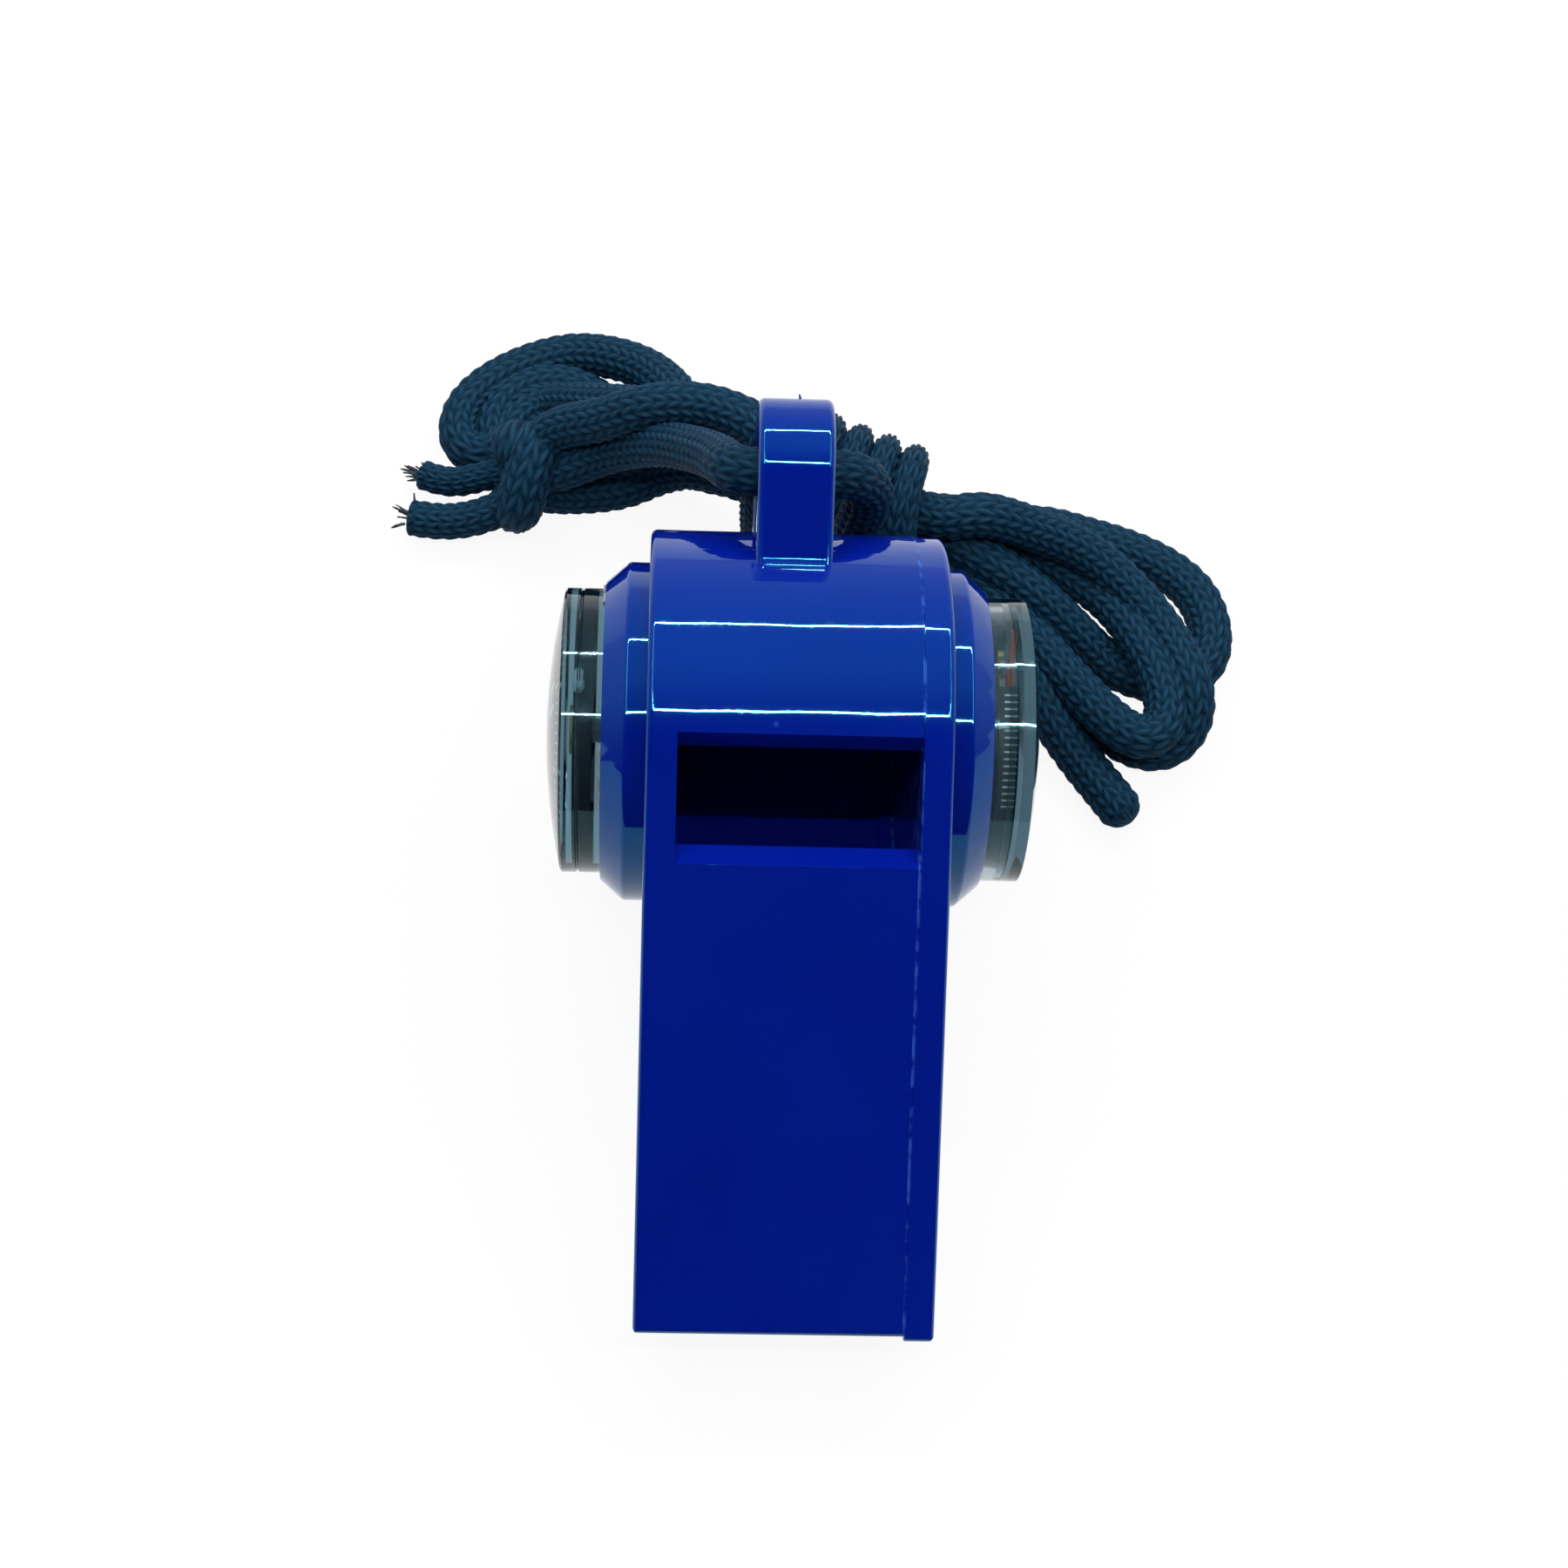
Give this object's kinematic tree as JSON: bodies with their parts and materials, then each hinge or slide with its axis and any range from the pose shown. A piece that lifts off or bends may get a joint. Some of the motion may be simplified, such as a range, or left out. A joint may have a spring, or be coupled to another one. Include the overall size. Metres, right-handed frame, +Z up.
{
  "type": "survival whistle",
  "caption": "Blue plastic whistle with a compass capsule in one cheek, a dial thermometer capsule in the other and a hanked black lanyard on its rear loop.",
  "frame": {"origin": "on the table under the middle of the whistle without its cord, as it lies on its drum and the lower edge of its mouthpiece", "axes": "+X to the thermometer side, +Y from the mouthpiece to the lanyard loop, +Z up"},
  "size_m": [0.0637, 0.0802, 0.03],
  "materials": {
    "blue_plastic": "glossy blue polystyrene",
    "clear_plastic": "clear polished plastic",
    "black_card": "matt black card",
    "steel": "bright steel",
    "brass": "turned brass",
    "dial_black": "matt black printed disc",
    "bimetal": "rolled bimetal strip",
    "pointer_red": "red-orange paint",
    "cord": "knitted polyester"
  },
  "bodies": {
    "whistle": {"whistle_body": "blue_plastic", "side_cover": "blue_plastic", "compass_cup": "clear_plastic", "compass_lens": "clear_plastic", "compass_pivot": "steel", "thermometer_cup": "clear_plastic", "thermometer_lens": "clear_plastic", "thermometer_dial": "dial_black", "thermometer_post": "brass", "bimetal_coil": "bimetal", "coil_anchor": "brass", "lanyard_lead": "cord", "lanyard_hank": "cord", "lanyard_knot": "cord", "lanyard_tails": "cord", "tie_lead": "cord", "hank_tie": "cord", "tie_tail": "cord"},
    "card": {"compass_card": "black_card", "card_magnets": "steel", "card_bearing": "brass"},
    "pointer": {"thermometer_pointer": "pointer_red", "pointer_hub": "brass"}
  },
  "joints": [
    {"name": "card_turn", "type": "hinge", "parent": "whistle", "child": "card", "pos_m": [-0.0151, 0.01053, 0.0142], "axis": [1, 0, 0], "continuous": true},
    {"name": "pointer_turn", "type": "hinge", "parent": "whistle", "child": "pointer", "pos_m": [0.0146, 0.01053, 0.0142], "axis": [1, 0, 0], "range_deg": [-80, 170]}
  ]
}
